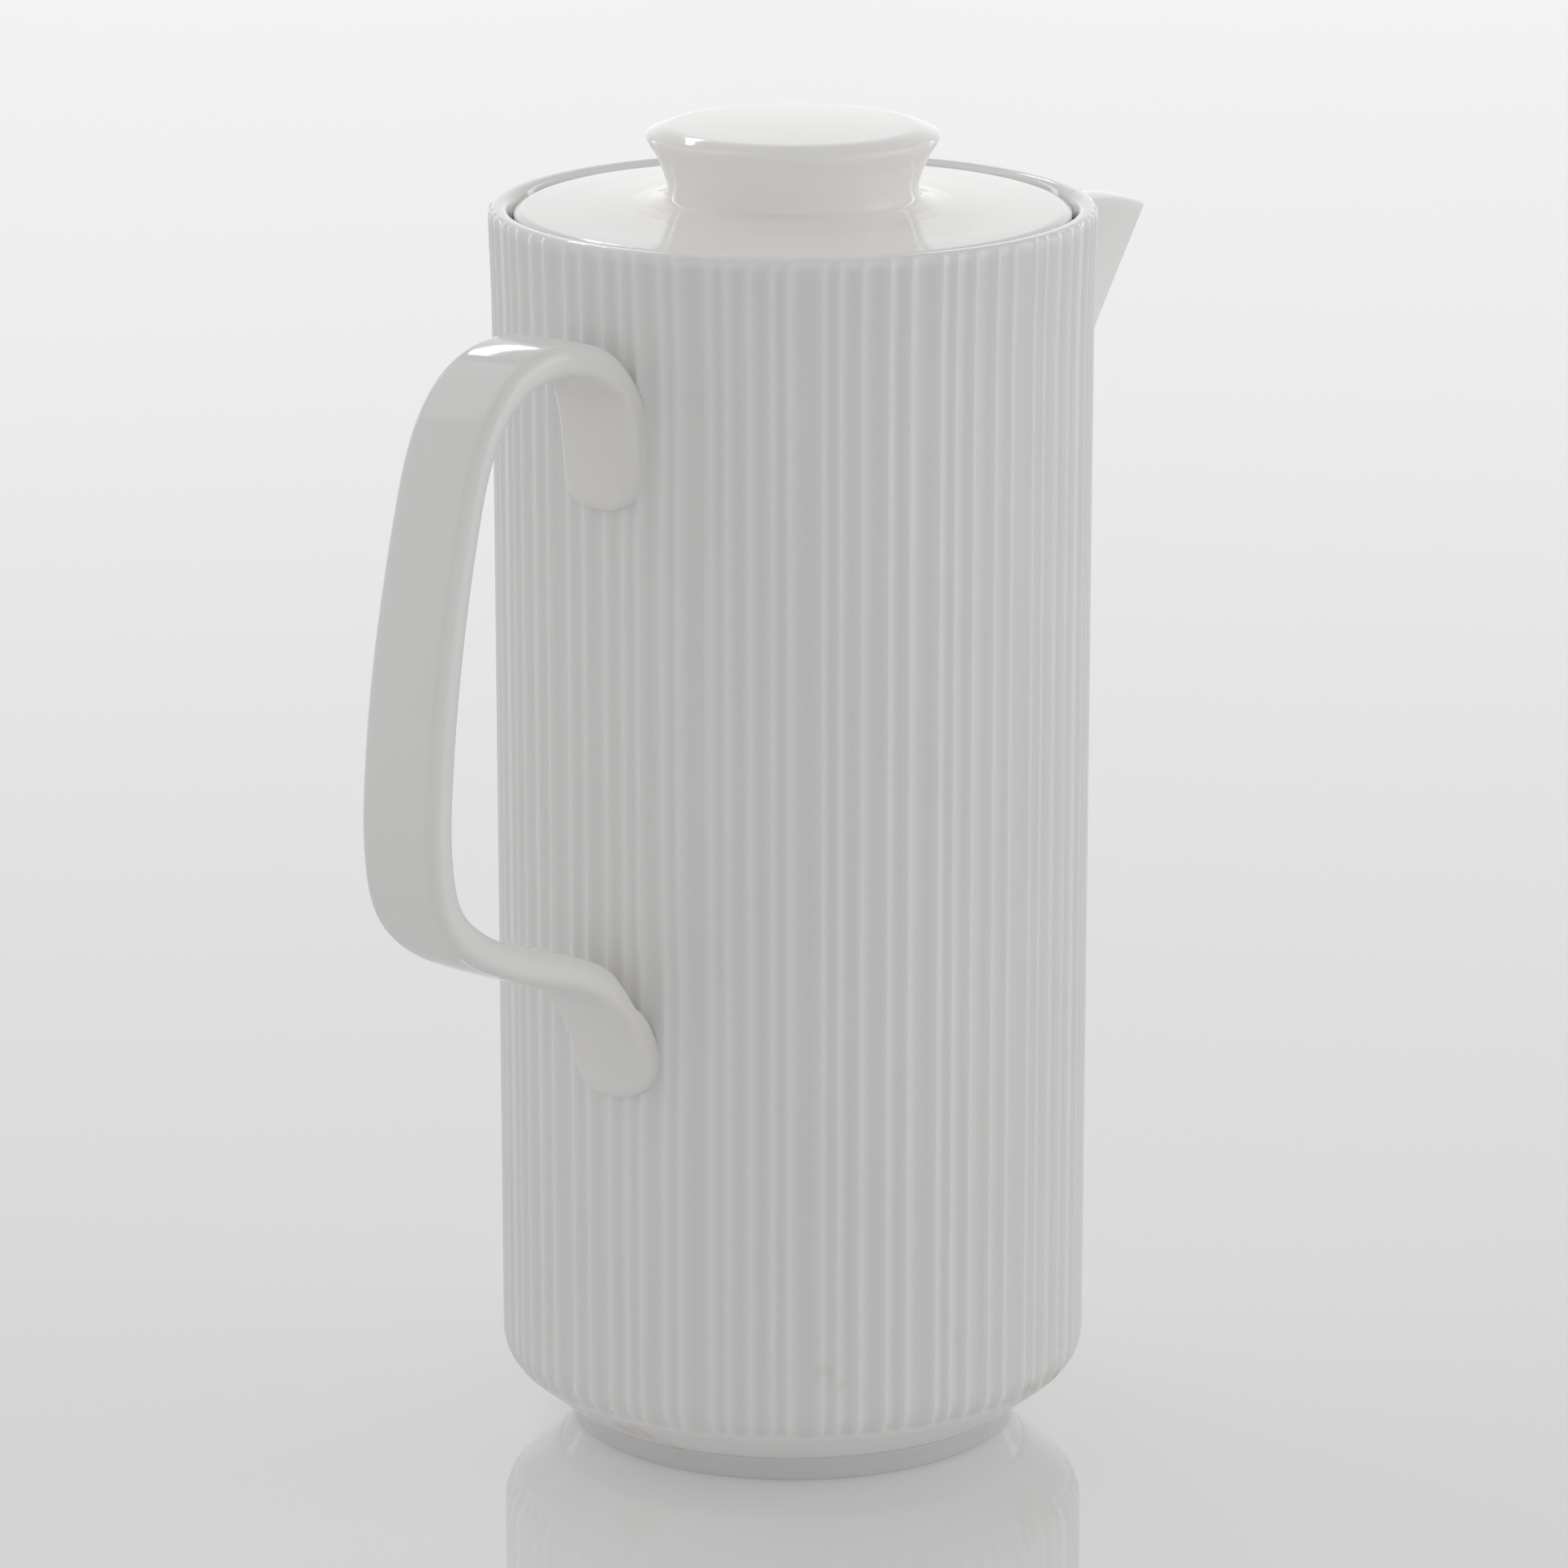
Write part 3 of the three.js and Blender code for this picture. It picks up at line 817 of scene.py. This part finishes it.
def stain_share(tree, place, strength):
    """Small patches, low down."""
    cloud = noise_node(tree, place, (-1200, -600), scale=60.0, detail=4.0, roughness=0.65)
    patches = range_node(tree, cloud, (-950, -600), (0.60, 0.74), (0.0, strength))
    height = add_node(tree, "ShaderNodeSeparateXYZ", (-1200, -850))
    tree.links.new(place, height.inputs["Vector"])
    low_down = range_node(tree, height.outputs["Z"], (-950, -850), STAIN_HEIGHTS, (1.0, 0.0))
    return math_node(tree, "MULTIPLY", (-750, -700), patches, low_down)


def glaze(name, tone=0.87, warmth=0.008, rough=0.085, peel=0.012, stain=0.0, specks=0.3, fluted=False):
    """White glazed porcelain: slight waviness, uneven polish, a few specks and faint stains; on fluted
    pieces, painted shade in the hollows of the flutes.
    """
    material = bpy.data.materials.new(name)
    material.use_nodes = True
    tree = material.node_tree
    shader = tree.nodes["Principled BSDF"]
    place = add_node(tree, "ShaderNodeTexCoord", (-1500, 0)).outputs["Object"]

    cloud = noise_node(tree, place, (-1200, 300), scale=22.0, detail=3.0)
    darker, lighter = grey(tone * 0.975, warmth), grey(tone * 1.02, warmth * 0.6)
    colour = mix_node(tree, cloud, (-900, 300), darker, lighter)
    if fluted:
        # Painted shade: the deeper a point lies in a flute, the darker its colour.
        shade_node = add_node(tree, "ShaderNodeAttribute", (-1200, 600), attribute_name="painted_flute_shade")
        colour = mix_node(tree, shade_node.outputs["Fac"], (-700, 450), colour, FLUTE_SHADE_TINT, "MULTIPLY")
    colour = mix_node(tree, speck_share(tree, place, specks), (-500, 300), colour, SPECK_COLOUR)
    if stain:
        colour = mix_node(tree, stain_share(tree, place, stain), (-300, 300), colour, STAIN_COLOUR)
    feed(tree, shader.inputs["Base Color"], colour)

    polish = noise_node(tree, place, (-1200, -1100), scale=140.0, detail=3.0)
    uneven = range_node(tree, polish, (-900, -1100), (0.0, 1.0), (rough * 0.8, rough * 1.25))
    feed(tree, shader.inputs["Roughness"], uneven)

    waves = noise_node(tree, place, (-1200, -1400), scale=260.0, detail=2.0)
    bump = add_node(tree, "ShaderNodeBump", (-500, -1300))
    bump.inputs["Strength"].default_value = peel * 10
    bump.inputs["Distance"].default_value = WAVE_HEIGHT
    feed(tree, bump.inputs["Height"], waves)
    feed(tree, shader.inputs["Normal"], bump.outputs["Normal"])

    shader.inputs["IOR"].default_value = GLAZE_IOR
    shader.inputs["Specular IOR Level"].default_value = 0.5
    return material


# ---------------------------------------------------------------- the pot's pieces

def cut_pouring_hole(pot):
    """The hole behind the spout, cut with a plug that is thrown away."""
    plug = make_piece("hole_plug", *hole_cutter(), pot.data.materials[0])
    cut = pot.modifiers.new("pouring hole", "BOOLEAN")
    cut.operation = "DIFFERENCE"
    cut.solver = "EXACT"
    cut.object = plug
    bpy.context.view_layer.update()
    graph = bpy.context.evaluated_depsgraph_get()
    cut_mesh = bpy.data.meshes.new_from_object(pot.evaluated_get(graph), depsgraph=graph)
    pot.modifiers.remove(cut)
    pot.data = cut_mesh
    bpy.data.objects.remove(plug, do_unlink=True)
    cut_mesh.polygons.foreach_set("use_smooth", [True] * len(cut_mesh.polygons))


def mark_painted_flute_shade(pot):
    """How deep in a flute each point lies, from 0 to 1, for the painted shade that darkens the hollows.
    """
    coords = np.empty(len(pot.data.vertices) * 3)
    pot.data.vertices.foreach_get("co", coords)
    coords = coords.reshape(-1, 3) * MM
    deep = ridge_radius(coords[:, 2]) - np.hypot(coords[:, 0], coords[:, 1])
    deep[coords[:, 2] > RIM_Z - SMOOTH_RIM] = 0
    shade_attribute = pot.data.attributes.new("painted_flute_shade", "FLOAT", "POINT")
    shade_attribute.data.foreach_set("value", np.clip(deep / FLUTE_DEPTH, 0, 1).astype(np.float32))


# The real pot is one white glaze. The pieces' tones differ as painted light and shade: the foot darker
# for the shade under the body, the spout darker, and the lid and knob lighter for the light that falls
# on them.
fluted_glaze = glaze("fluted_glaze", tone=0.865, warmth=0.010, peel=0.006, stain=0.6, fluted=True)
foot_glaze = glaze("foot_glaze", tone=0.69, warmth=-0.006, rough=0.14, stain=0.12, specks=0.6)
inside_glaze = glaze("inside_glaze", tone=0.86, rough=0.10)
spout_glaze = glaze("spout_glaze", tone=0.77, warmth=0.02, rough=0.08)
handle_glaze = glaze("handle_glaze", tone=0.84, warmth=0.014, rough=0.075)
lid_glaze = glaze("lid_glaze", tone=0.93, warmth=0.018, rough=0.075)
knob_glaze = glaze("knob_glaze", tone=0.93, warmth=0.022, rough=0.07)

fluted_body = make_piece("fluted_body", *body_mesh(), fluted_glaze,
                         "pot", "fluted_glaze", ["pot_body"])
cut_pouring_hole(fluted_body)
mark_painted_flute_shade(fluted_body)
make_piece("foot_ring_turned", *turned(FOOT_PROFILE[::-1], 256, closed=True), foot_glaze,
           "pot", "foot_glaze", ["foot_ring"])
make_piece("lid_seat", *turned(LEDGE_PROFILE, 256, closed=True), inside_glaze,
           "pot", "inside_glaze", ["lid_ledge"])
make_piece("beak_spout", *spout_mesh(), spout_glaze, "pot", "spout_glaze", ["spout"])
make_piece("strap_handle", *handle_mesh(), handle_glaze, "pot", "handle_glaze", ["handle"])

# ---------------------------------------------------------------- the lid's pieces

make_piece("lid_plate", *turned(DISC_PROFILE[::-1], 320, closed=True), lid_glaze,
           "lid", "lid_glaze", ["lid_disc"])
# The collar keeps the CAD model's own material, which has the slot's plain finish.
make_piece("lid_collar_turned", *turned(COLLAR_PROFILE[::-1], 256, closed=True),
           bpy.data.materials["inside_glaze"], "lid", "inside_glaze", ["lid_collar"])
make_piece("mushroom_knob", *turned(KNOB_PROFILE[::-1], 256), knob_glaze,
           "lid", "knob_glaze", ["lid_knob"])

# ---------------------------------------------------------------- table

TABLE_R = 6.0
TABLE_SIDES = 128
TABLE_GLOW = 0.178  # stands in for light that reaches the table from all round the room

table_mesh = bpy.data.meshes.new("table")
table_turns = [math.tau * i / TABLE_SIDES for i in range(TABLE_SIDES)]
table_mesh.from_pydata([(TABLE_R * math.cos(turn), TABLE_R * math.sin(turn), 0) for turn in table_turns],
                       [], [list(range(TABLE_SIDES))])
table = bpy.data.objects.new("table", table_mesh)
bpy.context.scene.collection.objects.link(table)
lacquer = bpy.data.materials.new("table_lacquer")
lacquer.use_nodes = True
lacquer_shader = lacquer.node_tree.nodes["Principled BSDF"]
lacquer_shader.inputs["Base Color"].default_value = grey(0.53, 0.004)
lacquer_shader.inputs["Emission Color"].default_value = grey(1.0, 0.002)
lacquer_shader.inputs["Emission Strength"].default_value = TABLE_GLOW
lacquer_shader.inputs["Roughness"].default_value = 0.04
lacquer_shader.inputs["IOR"].default_value = 2.05
table_mesh.materials.append(lacquer)

# ---------------------------------------------------------------- camera

LENS = 170.3
HEADING = math.radians(38.1)  # of the line of sight, from +X towards +Y
TILT = math.radians(14.8)  # of the line of sight, below level
DISTANCE = 1.244  # on the level, from the pot's axis
EYE_Z = 0.4429
SIDE_STEP = -0.00153

ahead = Vector((math.cos(HEADING), math.sin(HEADING), 0))
right = Vector((math.sin(HEADING), -math.cos(HEADING), 0))
camera_data = bpy.data.cameras.new("camera")
camera_data.lens = LENS
camera_data.sensor_width = 36.0
camera = bpy.data.objects.new("camera", camera_data)
camera.location = -ahead * DISTANCE + right * SIDE_STEP + Vector((0, 0, EYE_Z))
camera.rotation_euler = (math.pi / 2 - TILT, 0, HEADING - math.pi / 2)
bpy.context.scene.collection.objects.link(camera)
bpy.context.scene.camera = camera

# ---------------------------------------------------------------- light

AIM_SHARE = 0.8  # how far up the pot the softboxes face


def soft_light(name, bearing, lift, distance, size, power, roll=0.0):
    """A softbox that faces the pot. Bearing is from the line of sight, to the left, in degrees."""
    data = bpy.data.lights.new(name, "AREA")
    data.shape = "RECTANGLE"
    data.size, data.size_y = size
    data.energy = power
    lamp = bpy.data.objects.new(name, data)
    turn = HEADING + math.radians(bearing)
    lift = math.radians(lift)
    way = Vector((math.cos(turn) * math.cos(lift), math.sin(turn) * math.cos(lift), math.sin(lift)))
    middle = Vector((0, 0, TOP_Z / MM * AIM_SHARE))
    lamp.location = middle + way * distance
    facing = way.to_track_quat("Z", "Y") @ Quaternion((0, 0, 1), math.radians(roll))
    lamp.rotation_euler = facing.to_euler()
    lamp.visible_camera = False
    bpy.context.scene.collection.objects.link(lamp)


soft_light("key", 60, 52, 1.6, (1.4, 0.9), 2.2)
soft_light("strip", 12.5, 31.5, 1.6, (0.5, 0.05), 0.8, roll=50)
soft_light("left", 41, 8, 1.3, (0.12, 1.3), 0.9)
soft_light("edge", -41, 8, 1.3, (0.12, 1.3), 0.9)
soft_light("right", -95, 8, 1.3, (0.7, 1.3), 2.0)

world = bpy.data.worlds.new("studio")
bpy.context.scene.world = world
world.use_nodes = True
sky = world.node_tree
sky_place = add_node(sky, "ShaderNodeTexCoord", (-1200, 0))
to_sight = add_node(sky, "ShaderNodeMapping", (-1000, 0), vector_type="VECTOR")
to_sight.inputs["Rotation"].default_value = (0, 0, -HEADING)
sky.links.new(sky_place.outputs["Generated"], to_sight.inputs["Vector"])
sky_split = add_node(sky, "ShaderNodeSeparateXYZ", (-800, 0))
sky.links.new(to_sight.outputs["Vector"], sky_split.inputs["Vector"])

# Soft lobes of light: the way each faces, how narrow it is and how bright it is.
# X is ahead along the line of sight, Y is to the left of it and Z is up.
SKY_LOBES = [
    ("X", 1.0, 5.0, 1.22),  # behind the pot
    ("X", -1.0, 5.0, 0.97),  # behind the camera
    ("Y", 1.0, 3.0, 0.52),  # left
    ("Y", 1.0, 1.0, 0.38),  # left, spread wider
    ("Y", -1.0, 3.0, 0.43),  # right
    ("Y", -1.0, 1.0, 0.46),  # right, spread wider
    ("Z", 1.0, 2.0, 0.36),  # above
]
sky_level = 0.0
for row, (axis, way, narrow, bright) in enumerate(SKY_LOBES):
    toward = math_node(sky, "MULTIPLY", (-600, -200 * row), sky_split.outputs[axis], way)
    facing = math_node(sky, "MAXIMUM", (-450, -200 * row), toward, 0.0)
    shaped = math_node(sky, "POWER", (-300, -200 * row), facing, narrow)
    weighed = math_node(sky, "MULTIPLY", (-150, -200 * row), shaped, bright)
    sky_level = math_node(sky, "ADD", (0, -200 * row), weighed, sky_level)
background = sky.nodes["Background"]
background.inputs["Color"].default_value = (1, 1, 1, 1)
sky.links.new(sky_level, background.inputs["Strength"])

scene = bpy.context.scene
scene.view_settings.view_transform = "Standard"
scene.view_settings.look = "None"
